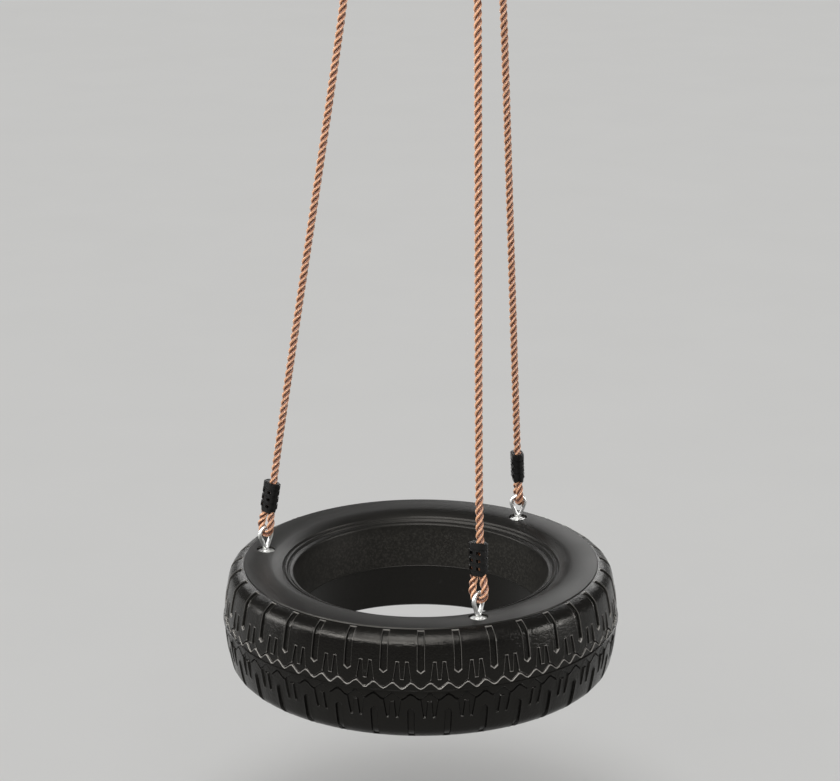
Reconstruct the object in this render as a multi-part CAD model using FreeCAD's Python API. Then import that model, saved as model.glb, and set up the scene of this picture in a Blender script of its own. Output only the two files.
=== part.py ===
import FreeCAD, Part
import math
import os

# Tyre swing: a hollow moulded tyre hangs level on three laid ropes from a
# three-armed spider, which turns and tips under a ceiling bracket.
# Millimetres and degrees.  The origin is the centre of the ceiling plate's top
# face, +Z is up, and the swing faces -Y.

V = FreeCAD.Vector
UP = V(0, 0, 1)

# ---------------------------------------------------------------- tyre sizes
TYRE_RADIUS = 325.0          # at the raised parting line round the tread
TYRE_HALF_HEIGHT = 91.3      # parting plane to the crown of a sidewall
THROAT_RADIUS = 201.0        # inner wall at the parting plane
BEAD_RADIUS = 208.5          # rounded lip where the inner wall meets the bead
TYRE_WALL = 6.0              # moulded wall
PARTING_RIB = 2.2            # how far the parting line stands proud
PARTING_RIB_HALF = 0.8
SHOULDER_WIDTH = 36.0        # sidewall edge to the outer radius
SIDEWALL_CROWN = 1.6         # fall of the sidewall from its crown to the bead slope
SIDEWALL_STEP = 1.8          # little step down from the sidewall to the tread
SHOULDER_DROP = 19.3         # crown to the foot of the shoulder's round
SHOULDER_SET = 12.0          # the foot of the shoulder's round inside the outer radius
TREAD_CURVE = 3.2            # how far the tread falls away half-way to its foot
BEAD_SLOPE_WIDTH = 37.5      # lip to the top of the bead's slope
BEAD_LIP_DROP = 19.7         # crown to the foot of the lip's round
DRAIN_HOLE_D = 9.0

PITCH_COUNT = 35             # tread pattern repeats round the tyre
SLOT_WIDTH = 11.0            # long slot over the shoulder
SLOT_DEPTH = 3.2
SLOT_FOOT = 33.0             # height of the slot's foot over the parting plane
SIPE_WIDTH = 4.2             # pair of narrow slots between two long ones
SIPE_SPACING = 15.0
SIPE_TOP = 46.0
SIPE_FOOT = 15.0
LOWER_PATTERN_SHIFT = -2.7   # degrees, lower tread against the upper
CUT_MARGIN = 4.0             # how far a tread cutter starts outside the surface

# ------------------------------------------------- eye bolts and their fixing
ROPE_COUNT = 3
FIRST_BOLT_ANGLE = -70.0     # degrees from +X
BOLT_INSET = 2.5             # bolt circle inside the middle of the sidewall
UPPER_CIRCLE_RADIUS = 137.0  # upper eye bolts, on the spider
EYE_TURN = (50.0, 10.0, 40.0)        # degrees, how each lower eye was left
UPPER_EYE_TURN = (20.0, 140.0, 80.0)
EYE_WIRE_D = 7.0
EYE_SIDE_GAP = 1.65          # rope to each limb of the eye
EYE_HEIGHT = 42.0
EYE_FOOT_RADIUS = 4.0        # bend of the wire's centre line over the neck
EYE_NECK = 3.5               # eye to washer
SHANK_D = 8.0
COLLAR_D = 13.0
COLLAR_T = 2.0
HOLE_CLEARANCE = 0.6         # on a diameter, round shanks and in washers
WASHER_D = 28.0
WASHER_T = 2.0
RECESS_CLEARANCE = 2.5       # recess diameter over the washer's
RECESS_DEPTH = 5.8
WELL_DEPTH = 18.0            # pocket under the tyre for washer, nut and cap
WELL_SKIRT = 6.0             # pocket wall
NUT_AF = 13.0
NUT_T = 8.0
THREAD_OVER = 2.0            # bolt that shows past its nut
CAP_T = 3.0
CAP_SINK = 0.4               # cap below the tyre's underside
CAP_CLEARANCE = 0.4          # on the cap's diameter
CAP_RIM = 2.0
SPACER_D = 16.0

# --------------------------------------------------------------- rope, clamps
ROPE_D = 12.7
SEAT_GAP = 1.0               # rope to eye
CLAMP_GAP = 0.5              # clamp channel diameter over the rope's
CLAMP_FOOT = 40.0            # from the bottom of the rope's loop
CLAMP_LENGTH = 52.0
CLAMP_WIDTH = 32.0
CLAMP_THICKNESS = 21.0
CLAMP_SPLIT = 0.3            # between the two shells
CLAMP_RIB = 1.6              # how far the bands round it stand proud
CLAMP_RIB_T = 7.6
CLAMP_NOSE = 5.0             # the ends narrow over this length
CLAMP_NOSE_WIDTH = 27.4
FIRST_WINDOW = 12.0          # from the clamp's foot to the first row of windows
WINDOW_PITCH = 12.2
COLLAR_PITCH = 10.2          # last row of windows to the collar over it
WINDOW_WIDTH = 7.0
WINDOW_HEIGHT = 5.2
WINDOW_ROWS = 3

# The rope at one end, as (across, along) in the plane of its loop.  The tail
# starts beside the rope in the clamp, the loop goes round the eye, and the rope
# runs on to the other end.
STRAND_GAP = 1.3             # between the two strands in a clamp
STRAND_HALF = (ROPE_D + STRAND_GAP) / 2
LOOP_ROUTE = ((STRAND_HALF, 68.0), (STRAND_HALF, 41.0), (13.6, 15.0), (7.5, 0.0), (-7.5, 0.0),
              (-13.6, 15.0), (-STRAND_HALF, 41.0), (-STRAND_HALF, 70.0), (0.0, 104.0))

ARC_SHARE = 0.45             # of the shorter run, taken up by each bend's arc

# ------------------------------------------------------------- ceiling bracket
PLATE_SIDE = 130.0
PLATE_T = 8.0
PLATE_CORNER = 12.0
PLATE_HOLE_SPACING = 95.0
PLATE_HOLE_D = 11.0
LUG_T = 8.0
LUG_RADIUS = 20.0
PIN_D = 12.0
PIN_DROP = 36.0              # plate top to the fore-and-aft pin
PIN_GAP = 48.0               # fore-and-aft pin to sideways pin
PIN_HEAD_AF = 19.0
PIN_HEAD_T = 7.5
PIN_THREAD_OVER = 3.0        # pin that shows past its nut
RUNNING_GAP = 0.05           # radial, pin in bush
BUSH_WALL = 2.5
BOSS_RADIUS = 13.0
BOSS_LENGTH = 27.0
SIDE_GAP = 0.5               # boss to lug
WEB_T = 15.0
YOKE_DROP = 34.0             # sideways pin to the yoke's floor
YOKE_FLOOR_T = 12.0
SWIVEL_D = 14.0
SWIVEL_HEAD_AF = 22.0
SWIVEL_HEAD_T = 9.0
SWIVEL_THREAD_OVER = 4.0
THRUST_WASHER_D = 44.0
THRUST_WASHER_T = 3.0
THRUST_GAP = 0.3

# -------------------------------------------------------------------- spider
HUB_D = 56.0
HUB_T = 14.0
ARM_T = 8.0
ARM_WIDTH = 30.0
ARM_RIB_T = 6.0
ARM_RIB_H = 10.0
ARM_RIB_CLEAR = 2.0          # rib's tip to the washer on the arm
PAD_RIM = 1.0                # of the arm's round end outside the washer

ROPE_FALL = 990.5            # upper eye to lower eye
SIDE_OFFSET = 37.0           # the tyre's axis hangs this far to -X

# --------------------------------------------------------------- worked out
SIDE_PIN_Z = -(PIN_DROP + PIN_GAP)
YOKE_FLOOR_Z = SIDE_PIN_Z - YOKE_DROP
YOKE_BASE_Z = YOKE_FLOOR_Z - YOKE_FLOOR_T
HUB_TOP_Z = YOKE_BASE_Z - THRUST_WASHER_T - 2 * THRUST_GAP
ARM_BASE_Z = HUB_TOP_Z - HUB_T
UPPER_EYE_Z = ARM_BASE_Z - WASHER_T - EYE_NECK - EYE_HEIGHT + EYE_WIRE_D / 2
LOWER_EYE_Z = UPPER_EYE_Z - ROPE_FALL
WASHER_TOP_Z = LOWER_EYE_Z - EYE_HEIGHT + EYE_WIRE_D / 2 - EYE_NECK
TYRE_Z = WASHER_TOP_Z - WASHER_T + RECESS_DEPTH - TYRE_HALF_HEIGHT
TYRE_CENTRE = V(-SIDE_OFFSET, 0, TYRE_Z)
BOLT_CIRCLE_RADIUS = (THROAT_RADIUS + TYRE_RADIUS) / 2 - BOLT_INSET
RECESS_D = WASHER_D + RECESS_CLEARANCE
SHANK_HOLE_D = SHANK_D + HOLE_CLEARANCE
EYE_WIDTH = ROPE_D + 2 * (EYE_WIRE_D + EYE_SIDE_GAP)
LOOP_SEAT = ROPE_D / 2 + EYE_WIRE_D / 2 + SEAT_GAP
PITCH = 360.0 / PITCH_COUNT
RECESS_FLOOR = TYRE_HALF_HEIGHT - RECESS_DEPTH
WELL_FLOOR = TYRE_HALF_HEIGHT - WELL_DEPTH
PIN_CENTRE_HALF = BOSS_LENGTH / 2 + SIDE_GAP
BUSH_D = PIN_D + 2 * (RUNNING_GAP + BUSH_WALL)
SWIVEL_BUSH_D = SWIVEL_D + 2 * (RUNNING_GAP + BUSH_WALL)


def polar(radius, angle, z=0.0):
    turn = math.radians(angle)
    return V(radius * math.cos(turn), radius * math.sin(turn), z)


def bolt_angle(index):
    return FIRST_BOLT_ANGLE + index * 360.0 / ROPE_COUNT


def cylinder(diameter, low, high, centre=V(0, 0, 0)):
    """An upright cylinder between two heights."""
    foot = V(centre.x, centre.y, low)
    return Part.makeCylinder(diameter / 2, high - low, foot)


def disc_ring(outer, inner, low, high, centre=V(0, 0, 0)):
    return cylinder(outer, low, high, centre).cut(cylinder(inner, low - 1, high + 1, centre))


def rod(diameter, start, axis, length):
    return Part.makeCylinder(diameter / 2, length, start, axis)


def hexagon(across_flats, low, high, centre=V(0, 0, 0), turn=0.0):
    """An upright hexagonal prism."""
    corner = across_flats / math.sqrt(3)
    points = [polar(corner, turn + 60 * k, low) + V(centre.x, centre.y, 0) for k in range(7)]
    return Part.Face(Part.makePolygon(points)).extrude(V(0, 0, high - low))


def lay_along(shape, axis):
    """Turn an upright shape's +Z to the axis given."""
    turned = shape.copy()
    turned.Placement = FreeCAD.Placement(V(0, 0, 0), FreeCAD.Rotation(UP, axis))
    return turned


def box(size, centre):
    corner = centre - size * 0.5
    return Part.makeBox(size.x, size.y, size.z, corner)


def moved(shape, offset):
    copy = shape.copy()
    copy.translate(offset)
    return copy


def turned(shape, angle, centre=V(0, 0, 0)):
    copy = shape.copy()
    copy.rotate(centre, UP, angle)
    return copy


# ----------------------------------------------------------------------- tyre
def section_point(radius, height):
    return V(radius, 0, height)


def tyre_outline():
    """The moulding's outer surface above the parting plane, throat to tread."""
    r, b, h = TYRE_RADIUS, BEAD_RADIUS, TYRE_HALF_HEIGHT
    edge, face, middle = r - SHOULDER_WIDTH, r - PARTING_RIB, (b + r) / 2
    foot = h - SHOULDER_DROP
    p = section_point

    def line(*points):
        return [Part.LineSegment(a, c).toShape() for a, c in zip(points, points[1:])]

    def arc(a, through, c):
        return [Part.Arc(a, through, c).toShape()]

    # The bead is a run of small ridges and hollows, given from the lip's radius
    # and the sidewall's crown.
    lip = p(b, h - BEAD_LIP_DROP)
    lip_top = p(b + 3.6, h - 15.9)
    inner_groove = (p(b + 6.7, h - 14.3), p(b + 7.5, h - 16.1),
                    p(b + 9.3, h - 15.5), p(b + 10.3, h - 13.0))
    outer_groove = (p(b + 13.8, h - 11.1), p(b + 15.0, h - 13.3),
                    p(b + 17.0, h - 12.5), p(b + 18.6, h - 9.5))
    slope_top = p(b + BEAD_SLOPE_WIDTH, h - SIDEWALL_CROWN)
    sidewall_edge = p(edge, h - 1.0)
    step_foot = p(edge + 1.2, h - 1.0 - SIDEWALL_STEP)
    shoulder_foot = p(r - SHOULDER_SET, foot)
    rib_foot = p(face, PARTING_RIB_HALF * 2)
    rib_top = p(r, PARTING_RIB_HALF)
    edges = line(p(THROAT_RADIUS, 0), lip)
    edges += arc(lip, p(b + 1.1, h - 17.0), lip_top)
    edges += line(lip_top, *inner_groove, *outer_groove)
    edges += arc(outer_groove[-1], p(b + 27.0, h - 5.0), slope_top)
    edges += arc(slope_top, p(middle, h), sidewall_edge)
    edges += line(sidewall_edge, step_foot)
    edges += arc(step_foot, p(r - 21.0, h - 8.9), shoulder_foot)
    edges += arc(shoulder_foot, p(face - TREAD_CURVE, foot * 0.55), rib_foot)
    edges += line(rib_foot, rib_top, p(r, 0), p(THROAT_RADIUS, 0))
    return edges


def upper_half(edges):
    return Part.Face(Part.Wire(edges)).revolve(V(0, 0, 0), UP, 360)


def tyre_hollow():
    """The air space above the parting plane, one wall inside the outline."""
    r, b, w = TYRE_RADIUS, BEAD_RADIUS, TYRE_WALL
    top = TYRE_HALF_HEIGHT - w
    p = section_point
    throat = p(THROAT_RADIUS + w, 0)
    bead = [p(b + w, top - BEAD_LIP_DROP - 2.3), p(b + w + 4.0, top - 15.5),
            p(b + w / 2 + 19.0, top - 11.5), p(b + BEAD_SLOPE_WIDTH + 0.5, top - SIDEWALL_CROWN)]
    tread = [p(r - SHOULDER_WIDTH - w / 2, top - 1.0), p(r - w / 2 - 23.0, top - 9.0),
             p(r - w - SHOULDER_SET - 0.5, TYRE_HALF_HEIGHT - SHOULDER_DROP - 2.7), p(r - PARTING_RIB - w, 0)]
    return upper_half(Part.makePolygon([throat] + bead + tread + [throat]).Edges)


def groove_cutter(points, width, angle):
    """A cutter of one width, from a section swept round a short arc of tread."""
    sweep = math.degrees(width / TYRE_RADIUS)
    cutter = Part.Face(Part.makePolygon(points + points[:1])).revolve(V(0, 0, 0), UP, sweep)
    return turned(cutter, angle - sweep / 2)


def slot_section():
    """A long slot from the sidewall's edge over the shoulder, its floor one depth down."""
    r, h, d = TYRE_RADIUS, TYRE_HALF_HEIGHT, SLOT_DEPTH
    p = section_point
    edge = r - SHOULDER_WIDTH + 1.0
    outside = [p(edge, h + CUT_MARGIN), p(r + CUT_MARGIN, h + CUT_MARGIN), p(r + CUT_MARGIN, SLOT_FOOT)]
    floor = [p(r - 5.0 - d, SLOT_FOOT), p(r - SHOULDER_SET - d, h - SHOULDER_DROP - 1.2),
             p(r - 21.5 - d * 0.7, h - 9.5 - d * 0.7), p(edge, h - 3.4 - d)]
    return outside + floor


def sipe_section():
    r, d = TYRE_RADIUS, SLOT_DEPTH
    p = section_point
    return [p(r + CUT_MARGIN, SIPE_FOOT), p(r + CUT_MARGIN, SIPE_TOP),
            p(r - 5.5 - d, SIPE_TOP), p(r - 3.2 - d, SIPE_FOOT)]


def tread_cutters():
    half_gap = math.degrees(SIPE_SPACING / TYRE_RADIUS) / 2
    cutters = []
    for k in range(PITCH_COUNT):
        slot_at = -90.0 + k * PITCH
        sipe_at = slot_at + PITCH / 2
        cutters.append(groove_cutter(slot_section(), SLOT_WIDTH, slot_at))
        for side in (-1, 1):
            cutters.append(groove_cutter(sipe_section(), SIPE_WIDTH, sipe_at + side * half_gap))
    return cutters


def moulded_half():
    """Half of the moulding, hollow and with its tread cut, open at the parting plane."""
    half = upper_half(tyre_outline()).cut(tyre_hollow())
    return half.cut(tread_cutters())


def bolt_wells(solid):
    """Seats for the eye bolts' washers above and pockets for their nuts below."""
    for k in range(ROPE_COUNT):
        at = polar(BOLT_CIRCLE_RADIUS, bolt_angle(k))
        boss = RECESS_D + 2 * WELL_SKIRT
        seat = cylinder(boss, RECESS_FLOOR - TYRE_WALL, RECESS_FLOOR + 1, at)
        pocket = cylinder(boss, TYRE_WALL / 2 - TYRE_HALF_HEIGHT, TYRE_WALL - WELL_FLOOR, at)
        solid = solid.fuse([seat, pocket])
    for k in range(ROPE_COUNT):
        at = polar(BOLT_CIRCLE_RADIUS, bolt_angle(k))
        top = cylinder(RECESS_D, RECESS_FLOOR, TYRE_HALF_HEIGHT + 1, at)
        bottom = cylinder(RECESS_D, -TYRE_HALF_HEIGHT - 1, -WELL_FLOOR, at)
        through = cylinder(SHANK_HOLE_D, -TYRE_HALF_HEIGHT, TYRE_HALF_HEIGHT, at)
        solid = solid.cut([top, bottom, through])
    return solid


def drain_holes():
    """One through the lower sidewall, midway between each two bolts."""
    holes = []
    for k in range(ROPE_COUNT):
        at = polar(BOLT_CIRCLE_RADIUS, bolt_angle(k) + 180.0 / ROPE_COUNT)
        holes.append(cylinder(DRAIN_HOLE_D, -TYRE_HALF_HEIGHT - 1, -TYRE_HALF_HEIGHT + 3 * TYRE_WALL, at))
    return holes


def tyre():
    upper = moulded_half()
    lower = turned(upper.mirror(V(0, 0, 0), UP), LOWER_PATTERN_SHIFT)
    whole = bolt_wells(upper.fuse(lower)).cut(drain_holes())
    return moved(whole, TYRE_CENTRE)


# ------------------------------------------------------------------- fasteners
def eye_ring():
    """The pear-shaped eye, its far limb's centre at the origin and the rest below."""
    head, foot = (EYE_WIDTH - EYE_WIRE_D) / 2, EYE_FOOT_RADIUS
    head_z, foot_z = -head, EYE_WIRE_D - EYE_HEIGHT + foot
    lean = math.asin((head - foot) / (head_z - foot_z))
    side, drop = math.cos(lean), math.sin(lean)
    shoulder, ankle = (head * side, head_z - head * drop), (foot * side, foot_z - foot * drop)
    right_top, right_low = V(shoulder[0], 0, shoulder[1]), V(ankle[0], 0, ankle[1])
    left_top, left_low = V(-shoulder[0], 0, shoulder[1]), V(-ankle[0], 0, ankle[1])
    path = Part.Wire([Part.Arc(left_top, V(0, 0, 0), right_top).toShape(),
                      Part.LineSegment(right_top, right_low).toShape(),
                      Part.Arc(right_low, V(0, 0, foot_z - foot), left_low).toShape(),
                      Part.LineSegment(left_low, left_top).toShape()])
    ring = Part.Wire(Part.makeCircle(EYE_WIRE_D / 2, left_top, V(-drop, 0, side)))
    return path.makePipeShell([ring], True, False)


def eye_bolt(shank_length):
    """Eye, collar and shank, the far limb's centre at the origin, shank down."""
    foot = EYE_WIRE_D / 2 - EYE_HEIGHT
    seat = foot - EYE_NECK
    neck = cylinder(SHANK_D, seat, foot + EYE_WIRE_D / 2)
    collar = cylinder(COLLAR_D, seat, seat + COLLAR_T)
    shank = cylinder(SHANK_D, seat - shank_length, seat)
    return eye_ring().fuse([neck, collar, shank]).removeSplitter()


def lower_eye(index):
    return TYRE_CENTRE + polar(BOLT_CIRCLE_RADIUS, bolt_angle(index), LOWER_EYE_Z - TYRE_Z)


def upper_eye(index):
    return polar(UPPER_CIRCLE_RADIUS, bolt_angle(index), UPPER_EYE_Z)


def lower_eye_bolt(index):
    nut_seat = TYRE_HALF_HEIGHT - RECESS_DEPTH + WASHER_T + WELL_FLOOR
    bolt = eye_bolt(nut_seat + WASHER_T + NUT_T + THREAD_OVER)
    return moved(turned(bolt, EYE_TURN[index]), lower_eye(index))


def upper_eye_bolt(index):
    bolt = eye_bolt(WASHER_T + ARM_T + WASHER_T + NUT_T + THREAD_OVER).mirror(V(0, 0, 0), UP)
    return moved(turned(bolt, UPPER_EYE_TURN[index]), upper_eye(index))


def at_each_bolt(make, upper=False):
    """One copy of a shape at every bolt of the tyre or of the spider."""
    place = upper_eye if upper else lower_eye
    spots = [V(place(k).x, place(k).y, 0) for k in range(ROPE_COUNT)]
    return Part.makeCompound([make(spot) for spot in spots])


def washer_at(low):
    return lambda spot: disc_ring(WASHER_D, SHANK_HOLE_D, low, low + WASHER_T, spot)


def nut_at(low):
    def nut(spot):
        blank = hexagon(NUT_AF, low, low + NUT_T, spot)
        return blank.cut(cylinder(SHANK_D, low - 1, low + NUT_T + 1, spot))
    return nut


def spacer_tube(index):
    low = TYRE_Z - WELL_FLOOR + TYRE_WALL
    high = TYRE_Z + RECESS_FLOOR - TYRE_WALL
    return disc_ring(SPACER_D, SHANK_HOLE_D, low, high, lower_eye(index))


def well_cap(spot):
    """A push-in cap that closes a nut pocket flush with the tyre's underside."""
    low = TYRE_Z - TYRE_HALF_HEIGHT + CAP_SINK
    width = RECESS_D - CAP_CLEARANCE
    rim = disc_ring(width, width - 2 * CAP_RIM, low + CAP_T, low + 2 * CAP_T, spot)
    return cylinder(width, low, low + CAP_T, spot).fuse(rim)


# ----------------------------------------------------------------------- ropes
def rope_axes(index, upper):
    """Loop bottom, direction across the loop and direction along the rope."""
    low, high = lower_eye(index), upper_eye(index)
    along = (low - high).normalize() if upper else (high - low).normalize()
    eye = high if upper else low
    turn = UPPER_EYE_TURN[index] if upper else EYE_TURN[index]
    across = along.cross(polar(1.0, turn)).normalize()
    return eye - along * LOOP_SEAT, across, along


def rope_end(index, upper):
    base, across, along = rope_axes(index, upper)
    return [base + across * side + along * way for side, way in LOOP_ROUTE]


def rounded_path(points):
    """Straight runs joined by tangent arcs, each as large as its runs allow."""
    edges, radii, start = [], [], points[0]
    for before, corner, after in zip(points, points[1:], points[2:]):
        back, ahead = before - corner, after - corner
        reach = ARC_SHARE * min(back.Length, ahead.Length)
        half_turn = (math.pi - back.getAngle(ahead)) / 2
        radii.append(reach / math.tan(half_turn))
        enter = corner + V(back).normalize() * reach
        leave = corner + V(ahead).normalize() * reach
        inward = (enter + leave) * 0.5 - corner
        rise = radii[-1] * (1 / math.cos(half_turn) - 1)
        middle = corner + inward.normalize() * rise
        edges.append(Part.LineSegment(start, enter).toShape())
        edges.append(Part.Arc(enter, middle, leave).toShape())
        start = leave
    edges.append(Part.LineSegment(start, points[-1]).toShape())
    return Part.Wire(edges), radii


def rope_path(index):
    points = rope_end(index, False) + rope_end(index, True)[::-1]
    return points, rounded_path(points)


def tube(index, diameter):
    points, (path, radii) = rope_path(index)
    ring = Part.Wire(Part.makeCircle(diameter / 2, points[0], points[1] - points[0]))
    solid = path.makePipeShell([ring], True, False)
    return solid, path.Length, radii


def rope(index):
    solid, length, radii = tube(index, ROPE_D)
    share = solid.Volume / (math.pi * ROPE_D ** 2 / 4 * length)
    print("rope", index + 1, "length", round(length, 1), "volume share", round(share, 4),
          "radii", [round(r, 1) for r in radii])
    return solid


# ---------------------------------------------------------------------- clamps
def round_sided(width, thickness, height):
    """The outline of a bar with round sides, level at one height."""
    half = (width - thickness) / 2
    r = thickness / 2
    a, b, c, d = (V(-half, -r, height), V(half, -r, height), V(half, r, height), V(-half, r, height))
    right = Part.Arc(b, V(half + r, 0, height), c).toShape()
    left = Part.Arc(d, V(-half - r, 0, height), a).toShape()
    return Part.Wire([Part.LineSegment(a, b).toShape(), right, Part.LineSegment(c, d).toShape(), left])


def rounded_bar(width, thickness, low, high, end_width=None):
    """An upright bar with round sides, which may narrow towards its far end."""
    narrowing = width - (end_width or width)
    foot = round_sided(width, thickness, low)
    head = round_sided(width - narrowing, thickness - narrowing * CLAMP_THICKNESS / CLAMP_WIDTH, high)
    return Part.makeLoft([foot, head], True, True)


def clamp_body():
    """The closed clamp without its channels, across X, split on Y, along Z."""
    low, high = CLAMP_FOOT, CLAMP_FOOT + CLAMP_LENGTH
    width, thickness = CLAMP_WIDTH - 2 * CLAMP_RIB, CLAMP_THICKNESS - 2 * CLAMP_RIB
    body = rounded_bar(width, thickness, low + CLAMP_NOSE, high - CLAMP_NOSE)
    noses = [rounded_bar(width, thickness, high - CLAMP_NOSE, high, CLAMP_NOSE_WIDTH),
             rounded_bar(width, thickness, low + CLAMP_NOSE, low, CLAMP_NOSE_WIDTH)]
    rows = [low + FIRST_WINDOW + row * WINDOW_PITCH for row in range(WINDOW_ROWS)]
    bands = []
    for middle in rows + [rows[-1] + COLLAR_PITCH]:
        ends = (middle - CLAMP_RIB_T / 2, middle + CLAMP_RIB_T / 2)
        bands.append(rounded_bar(CLAMP_WIDTH, CLAMP_THICKNESS, *ends))
    body = body.fuse(noses + bands)
    windows = []
    for height in rows:
        for side in (-1, 1):
            middle = V(side * STRAND_HALF, 0, height)
            windows.append(box(V(WINDOW_WIDTH, CLAMP_THICKNESS + 2, WINDOW_HEIGHT), middle))
    return body.cut(windows)


def clamp_shell(index, upper, side):
    """One half of a rope clamp, its channels cut to the rope."""
    base, across, along = rope_axes(index, upper)
    room = V(CLAMP_WIDTH, CLAMP_THICKNESS, CLAMP_LENGTH + 2)
    offset = side * (CLAMP_THICKNESS + CLAMP_SPLIT) / 2
    half = clamp_body().common(box(room, V(0, offset, CLAMP_FOOT + CLAMP_LENGTH / 2)))
    axes = FreeCAD.Rotation(across, along.cross(across), along, "ZXY")
    half.Placement = FreeCAD.Placement(base, axes)
    channel, length, radii = tube(index, ROPE_D + CLAMP_GAP)
    shell = half.cut(channel)
    return max(shell.Solids, key=lambda solid: solid.Volume)


# -------------------------------------------------------------- ceiling bracket
def ear(drop, reach, thickness, radius, hole):
    """A lug that hangs down and ends round a hole, in the XZ plane, centred on Y."""
    plate = box(V(2 * radius, thickness, drop), V(0, 0, -drop / 2))
    plate = plate.fuse(rod(2 * radius, V(0, -thickness / 2, -drop), V(0, 1, 0), thickness))
    plate = plate.cut(rod(hole, V(0, -thickness, -drop), V(0, 1, 0), 2 * thickness))
    return moved(plate.removeSplitter(), V(0, reach + thickness / 2, 0))


def pair_of_ears(drop, radius, hole):
    one = ear(drop, PIN_CENTRE_HALF, LUG_T, radius, hole)
    return [one, one.mirror(V(0, 0, 0), V(0, 1, 0))]


def ceiling_plate():
    plate = box(V(PLATE_SIDE, PLATE_SIDE, PLATE_T), V(0, 0, -PLATE_T / 2))
    corners = [e for e in plate.Edges if abs(e.tangentAt(e.FirstParameter).z) > 0.99]
    plate = plate.makeFillet(PLATE_CORNER, corners)
    half = PLATE_HOLE_SPACING / 2
    for x in (-half, half):
        for y in (-half, half):
            plate = plate.cut(cylinder(PLATE_HOLE_D, -PLATE_T - 1, 1, V(x, y, 0)))
    ears = [turned(moved(lug, V(0, 0, -PLATE_T / 2)), 90)
            for lug in pair_of_ears(PIN_DROP - PLATE_T / 2, LUG_RADIUS, PIN_D)]
    return plate.fuse(ears).removeSplitter()


def pin_bolt():
    """A headed pin along +Y through two lugs, centred on the origin."""
    reach = PIN_CENTRE_HALF + LUG_T
    shank = cylinder(PIN_D, -reach, reach + PIN_HEAD_T + PIN_THREAD_OVER)
    head = hexagon(PIN_HEAD_AF, -reach - PIN_HEAD_T, -reach)
    return lay_along(shank.fuse(head).removeSplitter(), V(0, 1, 0))


def pin_nut():
    reach = PIN_CENTRE_HALF + LUG_T
    blank = hexagon(PIN_HEAD_AF, reach, reach + PIN_HEAD_T)
    return lay_along(blank.cut(cylinder(PIN_D, reach - 1, reach + PIN_HEAD_T + 1)), V(0, 1, 0))


def bush(axis):
    inner = PIN_D + 2 * RUNNING_GAP
    sleeve = disc_ring(BUSH_D, inner, -BOSS_LENGTH / 2, BOSS_LENGTH / 2)
    return lay_along(sleeve, axis)


def cross_link():
    """The link between the two pins, one boss along X and one along Y."""
    half = BOSS_LENGTH / 2
    top, low = V(0, 0, -PIN_DROP), V(0, 0, SIDE_PIN_Z)
    web = box(V(WEB_T, WEB_T, PIN_GAP), (top + low) * 0.5)
    body = web.fuse([rod(2 * BOSS_RADIUS, top - V(half, 0, 0), V(1, 0, 0), BOSS_LENGTH),
                     rod(2 * BOSS_RADIUS, low - V(0, half, 0), V(0, 1, 0), BOSS_LENGTH)])
    body = body.cut([rod(BUSH_D, top - V(half + 1, 0, 0), V(1, 0, 0), BOSS_LENGTH + 2),
                     rod(BUSH_D, low - V(0, half + 1, 0), V(0, 1, 0), BOSS_LENGTH + 2)])
    return body.removeSplitter()


def swivel_yoke():
    """A fork round the sideways pin with a floor for the swivel bolt."""
    reach = PIN_CENTRE_HALF + LUG_T
    ears = [moved(lug.mirror(V(0, 0, 0), UP), V(0, 0, YOKE_FLOOR_Z))
            for lug in pair_of_ears(YOKE_DROP, LUG_RADIUS, PIN_D)]
    floor = box(V(2 * LUG_RADIUS, 2 * reach, YOKE_FLOOR_T), V(0, 0, YOKE_FLOOR_Z - YOKE_FLOOR_T / 2))
    body = floor.fuse(ears).removeSplitter()
    return body.cut(cylinder(SWIVEL_BUSH_D, YOKE_BASE_Z - 1, YOKE_FLOOR_Z + 1))


def swivel_bush():
    return disc_ring(SWIVEL_BUSH_D, SWIVEL_D + 2 * RUNNING_GAP, YOKE_BASE_Z, YOKE_FLOOR_Z)


def thrust_washer():
    return disc_ring(THRUST_WASHER_D, SWIVEL_D + HOLE_CLEARANCE, YOKE_BASE_Z - THRUST_WASHER_T, YOKE_BASE_Z)


def swivel_bolt():
    head_low = YOKE_FLOOR_Z + THRUST_GAP
    shank_low = ARM_BASE_Z - SWIVEL_HEAD_T - SWIVEL_THREAD_OVER
    return cylinder(SWIVEL_D, shank_low, head_low).fuse(
        hexagon(SWIVEL_HEAD_AF, head_low, head_low + SWIVEL_HEAD_T)).removeSplitter()


def swivel_nut():
    low, high = ARM_BASE_Z - SWIVEL_HEAD_T, ARM_BASE_Z
    return hexagon(SWIVEL_HEAD_AF, low, high).cut(cylinder(SWIVEL_D, low - 1, high + 1))


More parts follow.
